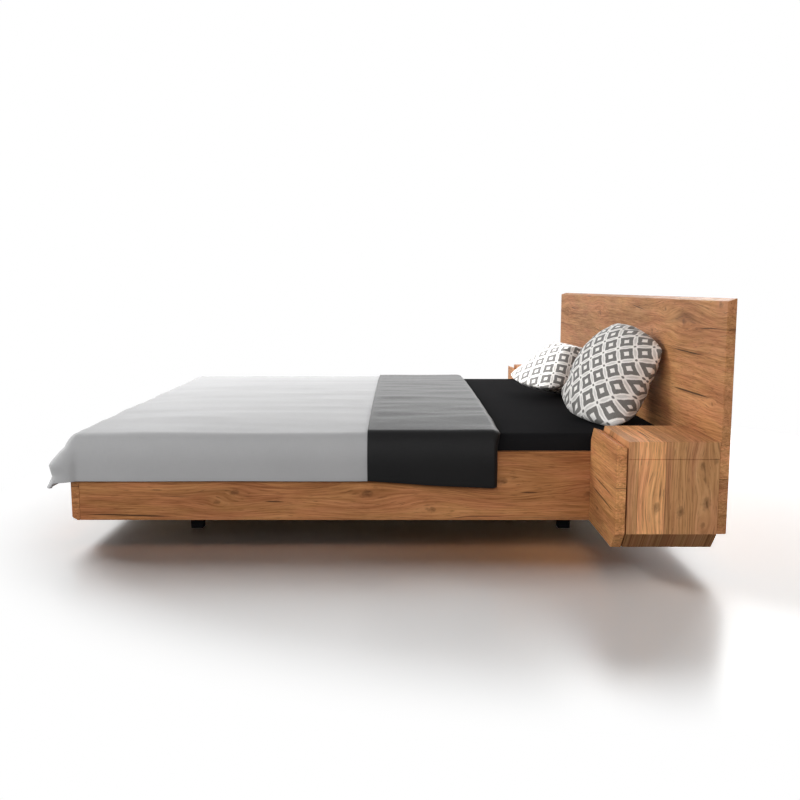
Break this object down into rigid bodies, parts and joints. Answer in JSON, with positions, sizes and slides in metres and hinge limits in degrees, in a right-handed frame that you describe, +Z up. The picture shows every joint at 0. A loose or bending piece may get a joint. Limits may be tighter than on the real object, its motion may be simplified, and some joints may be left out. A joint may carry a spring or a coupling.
{
  "type": "solid wood bed",
  "caption": "Low solid wood bed with a wide headboard, hung nightstands with drawers, inset black legs, slatted base, mattress, duvet and cushions.",
  "frame": {"origin": "on the floor under the middle of the whole bed, at the bottom centre of its box", "axes": "+X towards the headboard, +Y towards a sleeper's right, +Z up; the bed is longest along Y, over both nightstands, and shortest along Z"},
  "size_m": [2.125, 2.562, 0.8235],
  "materials": {
    "oiled_oak": "oiled knotty oak, satin",
    "planed_oak": "planed, unoiled",
    "black_steel": "black powder coat",
    "zinc_steel": "zinc plated",
    "black_sheet": "matt cotton sateen",
    "grey_duvet": "soft cotton, slight sheen",
    "charcoal_duvet": "soft cotton, slight sheen",
    "patterned_cushion": "woven cotton with a light lattice pattern"
  },
  "bodies": {
    "frame": {"side_rail_left": "oiled_oak", "side_rail_right": "oiled_oak", "foot_board": "oiled_oak", "head_rail": "oiled_oak", "headboard": "oiled_oak", "cross_beam_foot": "planed_oak", "cross_beam_head": "planed_oak", "centre_beam": "planed_oak", "slat_ledge_left": "planed_oak", "slat_ledge_right": "planed_oak", "slat_01": "planed_oak", "slat_02": "planed_oak", "slat_03": "planed_oak", "slat_04": "planed_oak", "slat_05": "planed_oak", "slat_06": "planed_oak", "slat_07": "planed_oak", "slat_08": "planed_oak", "slat_09": "planed_oak", "slat_10": "planed_oak", "slat_11": "planed_oak", "slat_12": "planed_oak", "leg_foot_left": "black_steel", "leg_foot_right": "black_steel", "leg_head_left": "black_steel", "leg_head_right": "black_steel", "bracket_foot_left": "zinc_steel", "bracket_foot_right": "zinc_steel", "bracket_head_left": "zinc_steel", "bracket_head_right": "zinc_steel", "nightstand_left_lid": "oiled_oak", "nightstand_left_base": "oiled_oak", "nightstand_left_outer_side": "oiled_oak", "nightstand_left_inner_side": "oiled_oak", "nightstand_left_back": "planed_oak", "nightstand_left_outer_runner": "planed_oak", "nightstand_left_inner_runner": "planed_oak", "nightstand_right_lid": "oiled_oak", "nightstand_right_base": "oiled_oak", "nightstand_right_outer_side": "oiled_oak", "nightstand_right_inner_side": "oiled_oak", "nightstand_right_back": "planed_oak", "nightstand_right_outer_runner": "planed_oak", "nightstand_right_inner_runner": "planed_oak", "mattress": "black_sheet", "duvet": "grey_duvet", "duvet_turnback": "charcoal_duvet", "pillow_left": "patterned_cushion", "pillow_right": "patterned_cushion"},
    "drawer_left": {"drawer_left_front": "oiled_oak", "drawer_left_outer_side": "planed_oak", "drawer_left_inner_side": "planed_oak", "drawer_left_back": "planed_oak", "drawer_left_bottom": "planed_oak"},
    "drawer_right": {"drawer_right_front": "oiled_oak", "drawer_right_outer_side": "planed_oak", "drawer_right_inner_side": "planed_oak", "drawer_right_back": "planed_oak", "drawer_right_bottom": "planed_oak"}
  },
  "joints": [
    {"name": "drawer_left_pull", "type": "slide", "parent": "frame", "child": "drawer_left", "axis": [-1, 0, 0], "range_m": [0, 0.18]},
    {"name": "drawer_right_pull", "type": "slide", "parent": "frame", "child": "drawer_right", "axis": [-1, 0, 0], "range_m": [0, 0.18]}
  ]
}
